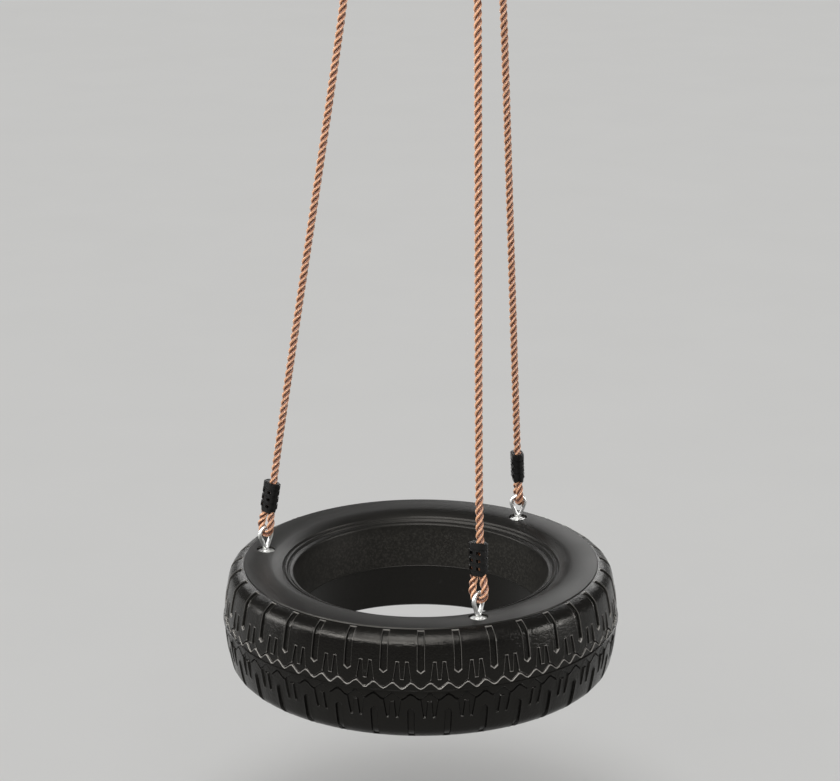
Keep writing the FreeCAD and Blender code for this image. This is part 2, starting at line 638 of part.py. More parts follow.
def spider():
    """A hub with three ribbed arms, one to each rope."""
    body = cylinder(HUB_D, ARM_BASE_Z, HUB_TOP_Z)
    arm_top = ARM_BASE_Z + ARM_T
    for k in range(ROPE_COUNT):
        end = polar(UPPER_CIRCLE_RADIUS, bolt_angle(k))
        rib_length = UPPER_CIRCLE_RADIUS - WASHER_D / 2 - ARM_RIB_CLEAR
        middle = V(UPPER_CIRCLE_RADIUS / 2, 0, ARM_BASE_Z + ARM_T / 2)
        arm = box(V(UPPER_CIRCLE_RADIUS, ARM_WIDTH, ARM_T), middle)
        foot, tip = V(0, -ARM_RIB_T / 2, arm_top), V(rib_length, -ARM_RIB_T / 2, arm_top)
        peak = V(0, -ARM_RIB_T / 2, arm_top + ARM_RIB_H)
        rib = Part.Face(Part.makePolygon([foot, tip, peak, foot])).extrude(V(0, ARM_RIB_T, 0))
        pad = cylinder(WASHER_D + 2 * PAD_RIM, ARM_BASE_Z, arm_top, end)
        body = body.fuse([turned(arm, bolt_angle(k)), turned(rib, bolt_angle(k)), pad])
    room = HUB_TOP_Z + ARM_RIB_H
    body = body.cut(cylinder(HUB_D, HUB_TOP_Z, room + ARM_RIB_H))
    for k in range(ROPE_COUNT):
        hole = cylinder(SHANK_HOLE_D, ARM_BASE_Z - 1, room, polar(UPPER_CIRCLE_RADIUS, bolt_angle(k)))
        body = body.cut(hole)
    return body.cut(cylinder(SWIVEL_D, ARM_BASE_Z - 1, room)).removeSplitter()


# --------------------------------------------------------------------- assembly
def assembly():
    nodes = {}
    pin = pin_bolt()
    nut = pin_nut()
    first, second = V(0, 0, -PIN_DROP), V(0, 0, SIDE_PIN_Z)
    nodes["ceiling_plate"] = ceiling_plate()
    nodes["fore_aft_pin"] = moved(turned(pin, 90), first)
    nodes["fore_aft_pin_nut"] = moved(turned(nut, 90), first)
    nodes["cross_link"] = cross_link()
    nodes["fore_aft_bush"] = moved(bush(V(1, 0, 0)), first)
    nodes["sideways_bush"] = moved(bush(V(0, 1, 0)), second)
    nodes["swivel_yoke"] = swivel_yoke()
    nodes["sideways_pin"] = moved(pin, second)
    nodes["sideways_pin_nut"] = moved(nut, second)
    nodes["swivel_bush"] = swivel_bush()
    nodes["thrust_washer"] = thrust_washer()
    nodes["swivel_bolt"] = swivel_bolt()
    nodes["swivel_lock_nut"] = swivel_nut()
    nodes["spider"] = spider()
    arm_top = ARM_BASE_Z + ARM_T
    nodes["spider_lower_washers"] = at_each_bolt(washer_at(ARM_BASE_Z - WASHER_T), upper=True)
    nodes["spider_upper_washers"] = at_each_bolt(washer_at(arm_top), upper=True)
    nodes["spider_lock_nuts"] = at_each_bolt(nut_at(arm_top + WASHER_T), upper=True)
    nodes["tyre_shell"] = tyre()
    under = TYRE_Z - WELL_FLOOR - WASHER_T
    nodes["tyre_top_washers"] = at_each_bolt(washer_at(WASHER_TOP_Z - WASHER_T))
    nodes["tyre_bottom_washers"] = at_each_bolt(washer_at(under))
    nodes["tyre_lock_nuts"] = at_each_bolt(nut_at(under - NUT_T))
    nodes["well_caps"] = at_each_bolt(well_cap)
    for k in range(ROPE_COUNT):
        number = str(k + 1)
        nodes["rope_" + number] = rope(k)
        nodes["lower_eye_bolt_" + number] = lower_eye_bolt(k)
        nodes["upper_eye_bolt_" + number] = upper_eye_bolt(k)
        nodes["spacer_tube_" + number] = spacer_tube(k)
        for name, upper in (("lower", False), ("upper", True)):
            for half, side in (("inner", -1), ("outer", 1)):
                nodes[name + "_clamp_" + number + "_" + half] = clamp_shell(k, upper, side)
    return nodes


os.makedirs("parts", exist_ok=True)
for node, shape in assembly().items():
    state = "valid" if shape.isValid() else "BAD"
    print(node, len(shape.Solids), "solids", round(shape.Volume / 1000, 1), "cm3", state)
    shape.exportStep("parts/" + node + ".step")
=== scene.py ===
import math

import bpy
import numpy as np
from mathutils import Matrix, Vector


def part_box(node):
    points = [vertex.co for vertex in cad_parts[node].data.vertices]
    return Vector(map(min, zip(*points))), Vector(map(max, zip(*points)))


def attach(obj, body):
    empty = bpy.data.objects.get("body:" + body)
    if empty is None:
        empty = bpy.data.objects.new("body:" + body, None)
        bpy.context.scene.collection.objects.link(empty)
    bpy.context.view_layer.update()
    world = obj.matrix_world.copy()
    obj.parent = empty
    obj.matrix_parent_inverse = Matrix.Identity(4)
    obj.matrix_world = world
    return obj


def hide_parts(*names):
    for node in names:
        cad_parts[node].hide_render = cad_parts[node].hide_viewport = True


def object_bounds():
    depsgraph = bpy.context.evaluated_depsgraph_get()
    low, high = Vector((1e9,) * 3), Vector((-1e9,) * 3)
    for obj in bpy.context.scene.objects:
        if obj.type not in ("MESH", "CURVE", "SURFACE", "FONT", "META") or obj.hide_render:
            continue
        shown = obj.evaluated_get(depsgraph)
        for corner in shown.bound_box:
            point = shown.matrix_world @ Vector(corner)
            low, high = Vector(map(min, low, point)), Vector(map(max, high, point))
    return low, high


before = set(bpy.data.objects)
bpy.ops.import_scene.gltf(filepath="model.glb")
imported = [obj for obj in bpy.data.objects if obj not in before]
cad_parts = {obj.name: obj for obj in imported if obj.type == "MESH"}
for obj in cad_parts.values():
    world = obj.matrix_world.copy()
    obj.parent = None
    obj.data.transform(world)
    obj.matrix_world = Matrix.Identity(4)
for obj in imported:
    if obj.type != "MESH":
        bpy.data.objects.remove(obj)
cad_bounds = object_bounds()


# ------------------------------------------------------------------ the camera
# The tyre is seen from in front and a little above, as someone standing a few
# steps away would see it, with the ropes running up out of the picture.
low, high = (Vector(corner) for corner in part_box("tyre_shell"))
TYRE = (low + high) / 2
CAMERA_SIDE = -0.00125
CAMERA_BACK = 3.696
CAMERA_UP = 1.5294
CAMERA_TIP = math.radians(72.73)
CAMERA_LENS = 103.3

camera = bpy.data.cameras.new("camera")
camera.lens = CAMERA_LENS
camera_object = bpy.data.objects.new("camera", camera)
camera_object.location = TYRE + Vector((CAMERA_SIDE, -CAMERA_BACK, CAMERA_UP))
camera_object.rotation_euler = (CAMERA_TIP, 0, 0)
bpy.context.scene.collection.objects.link(camera_object)
bpy.context.scene.camera = camera_object


# -------------------------------------------------------------- the tyre shell
# One hollow blow-moulded polyethylene shell, made in two mould halves that meet
# at a raised line round the tread.  Long slots cross its shoulders, and a zigzag
# groove runs on each side of the line.  Its sizes are in millimetres.
MM = 0.001


class Signal:
    """A shader socket, on which arithmetic adds Math nodes."""

    def __init__(self, finish, socket):
        self.finish, self.socket = finish, socket

    def math(self, operation, *values):
        return self.finish.node("ShaderNodeMath", {"operation": operation}, dict(enumerate(values)))

    def __add__(self, other):
        return self.math("ADD", self, other)

    def __sub__(self, other):
        return self.math("SUBTRACT", self, other)

    def __rsub__(self, other):
        return self.math("SUBTRACT", other, self)

    def __mul__(self, other):
        return self.math("MULTIPLY", self, other)

    __radd__ = __add__
    __rmul__ = __mul__


class Finish:
    """A material, and the one way its nodes are made."""

    def __init__(self, name, colour, roughness, **plain):
        self.material = bpy.data.materials.new(name)
        self.material.use_nodes = True
        self.tree = self.material.node_tree
        self.shader = self.tree.nodes["Principled BSDF"]
        self.set(**{"Base Color": colour, "Roughness": roughness}, **plain)

    def feed(self, socket, value):
        if isinstance(value, Signal):
            self.tree.links.new(value.socket, socket)
        elif socket.type == "RGBA" and len(value) == 3:
            socket.default_value = (*value, 1)
        else:
            socket.default_value = value

    def node(self, kind, settings, sockets, out=0):
        made = self.tree.nodes.new(kind)
        for key, value in settings.items():
            setattr(made, key, value)
        for key, value in sockets.items():
            self.feed(made.inputs[key], value)
        return Signal(self, made.outputs[out])

    def set(self, **sockets):
        for key, value in sockets.items():
            self.feed(self.shader.inputs[key], value)

    def place(self):
        return self.node("ShaderNodeTexCoord", {}, {}, "Object")

    def stretched(self, place, scale):
        return self.node("ShaderNodeMapping", {}, {"Vector": place, "Scale": scale})

    def noise(self, place, scale, detail=2.0, roughness=0.5):
        return self.node("ShaderNodeTexNoise", {}, {"Vector": place, "Scale": scale, "Detail": detail,
                                                   "Roughness": roughness})

    def rise(self, value, low, high):
        """0 below low, 1 above high, smooth between."""
        return self.node("ShaderNodeMapRange", {"interpolation_type": "SMOOTHSTEP"},
                         {"Value": value, "From Min": low, "From Max": high})

    def mix(self, share, first, second):
        return self.node("ShaderNodeMix", {"data_type": "RGBA"}, {0: share, 6: first, 7: second}, 2)

    def bump(self, height, distance, strength=1.0):
        return self.node("ShaderNodeBump", {}, {"Strength": strength, "Distance": distance,
                                                "Height": height})


def add_mesh(name, points, faces, finish):
    mesh = bpy.data.meshes.new(name)
    mesh.from_pydata([tuple(p) for p in points], [], faces)
    mesh.update()
    mesh.materials.append(finish.material)
    piece = bpy.data.objects.new(name, mesh)
    bpy.context.scene.collection.objects.link(piece)
    return piece


TYRE_RADIUS = 325.0
HALF_HEIGHT = 91.3
THROAT_RADIUS = 201.0
BEAD_RADIUS = 208.5
SHOULDER_WIDTH = 36.0
FACE_RADIUS = TYRE_RADIUS - 2.2
PITCH_COUNT = 35
LOWER_SHIFT = math.radians(-2.7)
SLOT_DEPTH = 3.2
SIPE_DEPTH = 2.1
LIP = 0.36
SLOT_FOOT = 33.0
SLOT_POINT = 4.5
SLOT_HALF = 5.6
SIPE_TOP = 46.0
TONGUE_TIP = 18.0
ZIGZAG_MIDDLE = 9.5
ZIGZAG_RISE = 4.7
ZIGZAG_STEEPNESS = 1.35
PITCH_WIDTH = 2 * math.pi * TYRE_RADIUS / PITCH_COUNT
FRONT = math.radians(-90)
# How bright the grey painted highlight on the lips of the grooves is, from 0 to 1:
# most at groove ends and the zigzag's foot, less along the sides, less again on the lower half, which
# lies in shade.
END_LIP_HIGHLIGHT = 0.9
SIDE_LIP_HIGHLIGHT = 0.52
LOWER_LIP_HIGHLIGHT = 0.4


def arc(start, through, end, count):
    """Points on the arc through three points, the first one left out."""
    (ax, ay), (bx, by), (cx, cy) = start, through, end
    d = 2 * (ax * (by - cy) + bx * (cy - ay) + cx * (ay - by))
    a2, b2, c2 = ax * ax + ay * ay, bx * bx + by * by, cx * cx + cy * cy
    ux = (a2 * (by - cy) + b2 * (cy - ay) + c2 * (ay - by)) / d
    uy = (a2 * (cx - bx) + b2 * (ax - cx) + c2 * (bx - ax)) / d
    radius = math.hypot(ax - ux, ay - uy)
    first, last = math.atan2(ay - uy, ax - ux), math.atan2(cy - uy, cx - ux)
    turn = (last - first + math.pi) % (2 * math.pi) - math.pi
    angles = [first + turn * k / count for k in range(1, count + 1)]
    return [(ux + radius * math.cos(a), uy + radius * math.sin(a)) for a in angles]


edge = TYRE_RADIUS - SHOULDER_WIDTH
sidewall_edge = (edge, HALF_HEIGHT - 1.0)
step_foot = (edge + 1.2, HALF_HEIGHT - 2.8)
shoulder_foot = (TYRE_RADIUS - 12.0, HALF_HEIGHT - 19.3)
rib_foot = (FACE_RADIUS, 1.6)
rib_top = (TYRE_RADIUS, 0.8)
shoulder = arc(step_foot, (TYRE_RADIUS - 21.0, HALF_HEIGHT - 8.9), shoulder_foot, 60)
crown = arc(shoulder_foot, (TYRE_RADIUS - 5.4, shoulder_foot[1] * 0.55), rib_foot, 80)
tread_line = np.array([step_foot] + shoulder + crown)
tread_way = np.concatenate([[0], np.cumsum(np.hypot(*np.diff(tread_line, axis=0).T))])


def height_at(way):
    """Height of the tread that far over it from the sidewall."""
    return np.interp(way, tread_way, tread_line[:, 1])


def way_at(height):
    """How far over the tread, from the sidewall, that height is."""
    return np.interp(-height, -tread_line[:, 1], tread_way)


def tread_point(way, depth):
    """Radius and height of a point that far over the tread and that deep in it."""
    step = 0.4
    ends = [[np.interp(w, tread_way, tread_line[:, k]) for k in (0, 1)]
            for w in (way - step, way + step)]
    along = np.array(ends[1]) - np.array(ends[0])
    outward = np.array([-along[1], along[0]]) / np.hypot(*along)
    middle = np.array([np.interp(way, tread_way, tread_line[:, k]) for k in (0, 1)])
    return middle - outward * depth


def zigzag(across):
    """Height of the zigzag groove, two flat-bottomed waves to a pitch."""
    wave = 1 - 4 * abs((across / (PITCH_WIDTH / 2) + 0.5) % 1 - 0.5)
    return ZIGZAG_MIDDLE - ZIGZAG_RISE * max(-1.0, min(1.0, ZIGZAG_STEEPNESS * wave))


def slot_foot(across):
    """Height of a long slot's pointed lower end."""
    return SLOT_FOOT - SLOT_POINT * max(0.0, 1 - abs(across) / SLOT_HALF)


# Rows of the tread, from the sidewall to the parting line.  OUT, EDGE and IN say
# where a line of points lies against a groove: beside it, on its lip, on its floor.
OUT, EDGE, IN = 0, 1, 2
rows = [
    # way over the tread or height on it, then the levels in slot, sipe, pocket, zigzag
    (lambda u: 0.0, OUT, OUT, OUT, OUT),
    (lambda u: 2.4, OUT, OUT, OUT, OUT),
    (lambda u: 3.5, EDGE, OUT, OUT, OUT),
    (lambda u: 4.9, IN, OUT, OUT, OUT),
]
rows += [(lambda u, w=w: w, IN, OUT, OUT, OUT) for w in (8.5, 12.0, 15.0, 18.0, 21.0, 24.0, 27.0)]
rows += [(lambda u, h=h: way_at(h), IN, OUT, OUT, OUT) for h in (70.0, 66.0, 60.0, 54.0)]
rows += [
    (lambda u: way_at(SIPE_TOP + 1.6), IN, OUT, OUT, OUT),
    (lambda u: way_at(SIPE_TOP + 0.5), IN, EDGE, OUT, OUT),
    (lambda u: way_at(SIPE_TOP - 0.9), IN, IN, OUT, OUT),
    (lambda u: way_at(40.0), IN, IN, OUT, OUT),
    (lambda u: way_at(slot_foot(u) + 2.6), IN, IN, OUT, OUT),
    (lambda u: way_at(slot_foot(u) - 0.2), EDGE, IN, OUT, OUT),
    (lambda u: way_at(slot_foot(u) - 1.4), OUT, IN, OUT, OUT),
    (lambda u: way_at(24.5), OUT, IN, OUT, OUT),
    (lambda u: way_at(TONGUE_TIP + 2.0), OUT, IN, OUT, OUT),
    (lambda u: way_at(TONGUE_TIP + 0.6), OUT, IN, EDGE, OUT),
    (lambda u: way_at(TONGUE_TIP - 0.8), OUT, IN, IN, OUT),
    (lambda u: way_at(zigzag(u) + 3.0), OUT, IN, IN, OUT),
    (lambda u: way_at(zigzag(u) + 2.2), OUT, IN, IN, EDGE),
    (lambda u: way_at(zigzag(u) + 1.4), OUT, IN, IN, IN),
    (lambda u: way_at(zigzag(u) + 1.0), OUT, OUT, OUT, IN),
    (lambda u: way_at(zigzag(u) - 1.7), OUT, OUT, OUT, EDGE),
    (lambda u: way_at(zigzag(u) - 2.8), OUT, OUT, OUT, OUT),
]

# Columns of half a pitch, from the middle of a long slot to the middle of a
# tongue: distance across at the top and foot of the sipes, then the levels in
# slot, sipe and pocket.
columns = [
    (0.0, 0.0, IN, OUT, OUT),
    (4.3, 4.3, IN, OUT, OUT),
    (5.7, 5.7, EDGE, OUT, OUT),
    (6.9, 6.9, OUT, OUT, OUT),
    (12.0, 11.0, OUT, OUT, OUT),
    (18.3, 14.2, OUT, OUT, OUT),
    (19.3, 15.3, OUT, EDGE, EDGE),
    (20.5, 16.6, OUT, IN, IN),
    (21.7, 21.0, OUT, IN, IN),
    (22.8, 25.4, OUT, IN, IN),
    (24.0, 26.6, OUT, EDGE, IN),
    (25.1, 27.8, OUT, OUT, IN),
    (PITCH_WIDTH / 2, PITCH_WIDTH / 2, OUT, OUT, IN),
]
columns = [(-top, -foot, *levels) for top, foot, *levels in columns[:0:-1]] + columns[:-1]


def lip_highlight_of(row_levels, levels):
    """How bright an edge's painted highlight is: most at a groove's end and along the zigzag's foot,
    where the lip lies level under the light from above.
    """
    at_end = any(row == EDGE <= column for row, column in zip(row_levels, levels))
    return END_LIP_HIGHLIGHT if at_end or row_levels == [OUT, OUT, OUT, EDGE] else SIDE_LIP_HIGHLIGHT


def tread_grid():
    """One pitch of tread: for each row, the points as (across, radius, height, painted lip highlight).
    """
    grid = []
    for way_of, *row_levels in rows:
        line = []
        for top, foot, *levels in columns:
            share = min(1.0, max(0.0, (SIPE_TOP - height_at(way_of(top))) / (SIPE_TOP - TONGUE_TIP)))
            across = top + (foot - top) * share
            slot, sipe, pocket = (min(a, b) for a, b in zip(row_levels, levels))
            narrow = max(sipe, pocket, row_levels[3])
            level = max(slot, narrow)
            depth = {OUT: 0.0, EDGE: -LIP, IN: SLOT_DEPTH if slot == IN else SIPE_DEPTH}[level]
            radius, height = tread_point(way_of(across), depth)
            # Points on a groove's lip carry a painted highlight value; the rest carry none.
            rub = lip_highlight_of(row_levels, levels) if level == EDGE else 0.0
            line.append((across, radius, height, rub))
        grid.append(line)
    return grid


# Each point's painted highlight on the groove lips is kept in its own list.
points, faces, lip_highlights = [], [], []


def add_ring(section):
    """A closed ring of points from (angle, radius, height, painted lip highlight), and their numbers."""
    first = len(points)
    for angle, radius, height, rub in section:
        points.append((radius * math.cos(angle), radius * math.sin(angle), height))
        lip_highlights.append(rub)
    return [(a, first + k) for k, (a, *rest) in enumerate(section)]


def join_rings(upper, lower):
    """Faces between two rings that have the same number of points."""
    count = len(upper)
    for k in range(count):
        after = (k + 1) % count
        faces.append((upper[k][1], lower[k][1], lower[after][1], upper[after][1]))


def zip_rings(upper, lower):
    """Triangles between two rings whose points stand at different angles."""
    turn = 2 * math.pi
    upper = sorted(((a - FRONT) % turn, k) for a, k in upper)
    lower = sorted(((a - FRONT) % turn, k) for a, k in lower)
    upper.append((upper[0][0] + turn, upper[0][1]))
    lower.append((lower[0][0] + turn, lower[0][1]))
    i = j = 0
    while i < len(upper) - 1 or j < len(lower) - 1:
        above = i < len(upper) - 1 and (j == len(lower) - 1 or upper[i + 1][0] <= lower[j + 1][0])
        if above:
            faces.append((upper[i][1], lower[j][1], upper[i + 1][1]))
            i += 1
        else:
            faces.append((upper[i][1], lower[j][1], lower[j + 1][1]))
            j += 1


def tread_half(side, shift):
    """The tread on one side of the parting line, its rings from sidewall to line."""
    rings = []
    grid = tread_grid()
    # The lower half's lips get less painted highlight, as they lie in shade.
    fibre_tone_and_lower_shade = 1.0 if side > 0 else LOWER_LIP_HIGHLIGHT
    crest = [[(u, r, h, 0.0) for u, *rest in grid[-1]] for r, h in (rib_foot, rib_top)]
    for line in grid + crest:
        section = []
        for pitch in range(PITCH_COUNT):
            start = FRONT + shift + 2 * math.pi * pitch / PITCH_COUNT
            section += [(start + u / TYRE_RADIUS, r, side * h, rub * fibre_tone_and_lower_shade) for u, r, h, rub in line]
        rings.append(add_ring(section))
    for upper, lower in zip(rings, rings[1:]):
        join_rings(*((upper, lower) if side > 0 else (lower, upper)))
    return rings


SIDEWALL_STEPS = 6 * PITCH_COUNT


def lathe_line():
    """The plain section from the upper sidewall edge through the throat to z = 0."""
    b, h = BEAD_RADIUS, HALF_HEIGHT
    middle = (b + TYRE_RADIUS) / 2
    line = [sidewall_edge] + arc(sidewall_edge, (middle, h), (b + 37.5, h - 1.6), 9)
    line += arc((b + 37.5, h - 1.6), (b + 27.0, h - 5.0), (b + 18.6, h - 9.5), 6)
    line += [(b + 17.6, h - 11.6), (b + 16.4, h - 12.9), (b + 15.2, h - 13.0), (b + 14.3, h - 12.0)]
    line += [(b + 13.2, h - 11.2), (b + 12.0, h - 11.5), (b + 10.8, h - 12.6)]
    line += [(b + 10.0, h - 14.6), (b + 9.0, h - 15.7), (b + 7.9, h - 15.9), (b + 7.0, h - 15.1)]
    line += [(b + 6.0, h - 14.6), (b + 4.6, h - 15.1), (b + 2.9, h - 16.0)]
    line += arc((b + 2.9, h - 16.0), (b + 0.9, h - 17.4), (b, h - 19.7), 3)
    line += [(b - 0.75, h - 30.0), (b - 3.0, h - 52.0)]
    line += [(THROAT_RADIUS + 0.1, 1.3), (THROAT_RADIUS - 0.6, 0.6)]
    return line


upper_rings = tread_half(1, 0.0)
lower_rings = tread_half(-1, LOWER_SHIFT)
zip_rings(upper_rings[-1], lower_rings[-1])
lathe = lathe_line()
angles = [FRONT + 2 * math.pi * k / SIDEWALL_STEPS for k in range(SIDEWALL_STEPS)]
lathe_rings = []
for radius, height in lathe + [(r, -h) for r, h in lathe[::-1]]:
    lathe_rings.append(add_ring([(a, radius, height, 0.0) for a in angles]))
for inner, outer in zip(lathe_rings[1:], lathe_rings):
    join_rings(inner, outer)
zip_rings(lathe_rings[0], upper_rings[0])
zip_rings(lower_rings[0], lathe_rings[-1])

# Polyethylene: nearly black, satin on the sidewalls, glossier with a fine pebble
# on the tread, with faint scuffs from handling.  The upper throat is painted paler
# and mottled, partly dust and partly a painted sheen, and the lips of the grooves
# carry grey painted highlights, dimmer on the lower half, which lies in shade.
moulded = Finish("moulded_tyre", (0.004, 0.004, 0.0038), 0.4,
                 **{"Specular IOR Level": 0.19, "Specular Tint": (1.0, 0.96, 0.89, 1.0)})
place = moulded.place()
local = moulded.node("ShaderNodeVectorMath", {"operation": "SUBTRACT"}, {0: place, 1: tuple(TYRE)})
flat = moulded.node("ShaderNodeVectorMath", {"operation": "MULTIPLY"}, {0: local, 1: (1, 1, 0)})
radius = moulded.node("ShaderNodeVectorMath", {"operation": "LENGTH"}, {0: flat}, "Value")
on_tread = moulded.rise(radius, edge * MM, (edge + 2.5) * MM)
in_throat = 1 - moulded.rise(radius, (BEAD_RADIUS - 1.5) * MM, (BEAD_RADIUS + 1.0) * MM)
pebble = moulded.rise(moulded.noise(local, 280.0, 3.0, 0.65), 0.34, 0.68)
grain = moulded.noise(local, 1500.0, 2.0, 0.6)
cloud = moulded.noise(local, 9.0, 4.0, 0.6)
handled = moulded.noise(moulded.stretched(local, (25.0, 60.0, 25.0)), 3.0, 5.0, 0.7)
scuff = moulded.rise(handled, 0.62, 0.75)
plain_roughness = 0.36 + cloud * 0.12 + scuff * 0.10
tread_roughness = 0.15 + cloud * 0.06
moulded.set(Roughness=plain_roughness * (1 - on_tread) + tread_roughness * on_tread)
tint = moulded.mix(cloud, (0.0020, 0.0019, 0.0017), (0.0042, 0.0040, 0.0036))
scuffed = moulded.mix(scuff * 0.5, tint, (0.016, 0.0155, 0.0145))
height = moulded.node("ShaderNodeSeparateXYZ", {}, {"Vector": local}, "Z")
# The upper throat is painted paler and mottled: partly dust, partly a painted sheen.
mottle = moulded.rise(moulded.noise(local, 240.0, 3.0, 0.7), 0.44, 0.66)
throat_dust_and_sheen = in_throat * moulded.rise(height, 0.0, 0.003) * (0.25 + mottle * 0.75)
with_dust_and_sheen = moulded.mix(throat_dust_and_sheen, scuffed, (0.0150, 0.0142, 0.0125))
# Painted highlight: the groove lips are coloured grey where they would catch the light.
rub = moulded.node("ShaderNodeAttribute", {"attribute_name": "rub"}, {}, "Fac")
lip_highlight_share = moulded.rise(rub * (0.6 + cloud * 0.8), 0.22, 0.95)
moulded.set(**{"Base Color": moulded.mix(lip_highlight_share, with_dust_and_sheen, (0.15, 0.143, 0.132))})
relief = pebble * on_tread + grain * (1 - on_tread) * 0.12 + pebble * in_throat * 0.5
moulded.set(Normal=moulded.bump(relief, 0.00022, 0.8))

SHARP_ANGLE = math.radians(32)
shell = add_mesh("tyre_moulding", points, faces, moulded)
for vertex in shell.data.vertices:
    vertex.co = vertex.co * MM + TYRE
# The painted lip highlight is stored on each point.
lip_highlight_layer = shell.data.attributes.new("rub", "FLOAT", "POINT")
lip_highlight_layer.data.foreach_set("value", lip_highlights)


# ------------------------------------------------- bolt seats and nut pockets
# Three round seats in the top sidewall hold the eye bolts' washers, three
# pockets underneath hold the nuts, and three drain holes let rain water out.
SEAT_D = 0.0305
SEAT_DEPTH = 0.0058
POCKET_DEPTH = 0.018
DRAIN_D = 0.009
DRAIN_DEPTH = 0.014
BOLT_ANGLES = [math.radians(-70 + 120 * k) for k in range(3)]
BOLT_CIRCLE = (THROAT_RADIUS + TYRE_RADIUS) / 2 * MM - 0.0025
BORE_SIDES = 48
CUT_OVER = 0.01


def add_bore(cutter_points, cutter_faces, angle, diameter, low, high):
    """Adds one upright round cutter, on the bolt circle at that angle."""
    first, count = len(cutter_points), BORE_SIDES
    for z in (low, high):
        for k in range(count):
            turn = 2 * math.pi * k / count
            x = BOLT_CIRCLE * math.cos(angle) + diameter / 2 * math.cos(turn)
            y = BOLT_CIRCLE * math.sin(angle) + diameter / 2 * math.sin(turn)
            cutter_points.append(TYRE + Vector((x, y, z)))
    cutter_faces.append(tuple(range(first + count - 1, first - 1, -1)))
    cutter_faces.append(tuple(range(first + count, first + 2 * count)))
    for k in range(count):
        after = (k + 1) % count
        cutter_faces.append((first + k, first + after, first + count + after, first + count + k))


bore_points, bore_faces = [], []
top = HALF_HEIGHT * MM
for angle in BOLT_ANGLES:
    add_bore(bore_points, bore_faces, angle, SEAT_D, top - SEAT_DEPTH, top + CUT_OVER)
    add_bore(bore_points, bore_faces, angle, SEAT_D, -top - CUT_OVER, -top + POCKET_DEPTH)
    between = angle + math.pi / 3
    add_bore(bore_points, bore_faces, between, DRAIN_D, -top - CUT_OVER, -top + DRAIN_DEPTH)
bores = add_mesh("bores", bore_points, bore_faces, moulded)
cut = shell.modifiers.new("bores", "BOOLEAN")
cut.object = bores
cut.operation = "DIFFERENCE"
cut.solver = "EXACT"
state = bpy.context.evaluated_depsgraph_get()
bored = bpy.data.meshes.new_from_object(shell.evaluated_get(state))
shell.modifiers.clear()
shell.data = bored
bpy.data.objects.remove(bores)
shell.data.shade_smooth()
shell.data.set_sharp_from_angle(angle=SHARP_ANGLE)
weighted = shell.modifiers.new("flat_faces_stay_flat", "WEIGHTED_NORMAL")
weighted.keep_sharp = True
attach(shell, "swing")
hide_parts("tyre_shell")


# ---------------------------------------------------------------- three ropes
# Each rope is 12.7 mm three-strand laid polypropylene, tan brown and shiny.  It
# loops through the eye at each end, its tail held beside it in a clamp, and the
# rider's weight pulls it straight between.
ROPE_D = 0.0127
EYE_WIRE = 0.007
SEAT_GAP = 0.001
LOOP_SEAT = ROPE_D / 2 + EYE_WIRE / 2 + SEAT_GAP
STRAND_HALF = 0.007
# The loop's route from the standing rope round the eye to the tail's end: how far
# to the side and how far up the rope from the eye.
LOOP_ROUTE = ((STRAND_HALF, 0.068), (STRAND_HALF, 0.041), (0.0136, 0.015), (0.0075, 0.0), (-0.0075, 0.0),
              (-0.0136, 0.015), (-STRAND_HALF, 0.041), (-STRAND_HALF, 0.070), (0.0, 0.104))
# How far the loops are turned round the rope, in degrees.
LOWER_TURN = (50.0, 10.0, 40.0)
UPPER_TURN = (20.0, 140.0, 80.0)
LAY_LENGTH = 0.038
STRAND_R = 0.00300
STRAND_OFFSET = 0.00335
RING_STEP = 0.0022
STRAND_SIDES = 16
# Above 1, a strand's sides are closer together on its outward crown.
SIDE_SPREAD = 1.15
# Any direction off the rope's own, to start the strands from.
FIRST_SIDE = (0.3, 0.9, 0.1)


def eye_middle(node, top):
    """Middle of the wire that the rope hangs on, at the eye bolt's top or foot."""
    low, high = (Vector(corner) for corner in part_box(node))
    height = high.z - EYE_WIRE / 2 if top else low.z + EYE_WIRE / 2
    return Vector(((low.x + high.x) / 2, (low.y + high.y) / 2, height))


def loop_points(eye, along, turn):
    """The loop's route through one eye, for a rope that leaves it along that way."""
    facing = Vector((math.cos(math.radians(turn)), math.sin(math.radians(turn)), 0))
    across = along.cross(facing).normalized()
    return [eye - along * LOOP_SEAT + across * side + along * way for side, way in LOOP_ROUTE]


def rope_route(index):
    """Both loops of a rope, and the straight pull between them."""
    lower = eye_middle(f"lower_eye_bolt_{index + 1}", True)
    upper = eye_middle(f"upper_eye_bolt_{index + 1}", False)
    along = (upper - lower).normalized()
    lower_loop = loop_points(lower, along, LOWER_TURN[index])
    upper_loop = loop_points(upper, -along, UPPER_TURN[index])
    return lower_loop + upper_loop[::-1]


def centre_line(name, route):
    """Points read along the route's smooth line."""
    curve = bpy.data.curves.new(name, "CURVE")
    curve.dimensions = "3D"
    spline = curve.splines.new("NURBS")
    spline.points.add(len(route) - 1)
    for point, place in zip(spline.points, route):
        point.co = (*place, 1)
    spline.order_u = 3
    spline.use_endpoint_u = True
    spline.resolution_u = 24
    holder = bpy.data.objects.new(name, curve)
    bpy.context.scene.collection.objects.link(holder)
    state = bpy.context.evaluated_depsgraph_get()
    line = bpy.data.meshes.new_from_object(holder.evaluated_get(state))
    places = np.array([v.co[:] for v in line.vertices])
    bpy.data.objects.remove(holder)
    way = np.concatenate([[0], np.cumsum(np.linalg.norm(np.diff(places, axis=0), axis=1))])
    even = np.linspace(0, way[-1], int(way[-1] / RING_STEP) + 1)
    return np.stack([np.interp(even, way, places[:, k]) for k in range(3)], axis=1), way[-1]


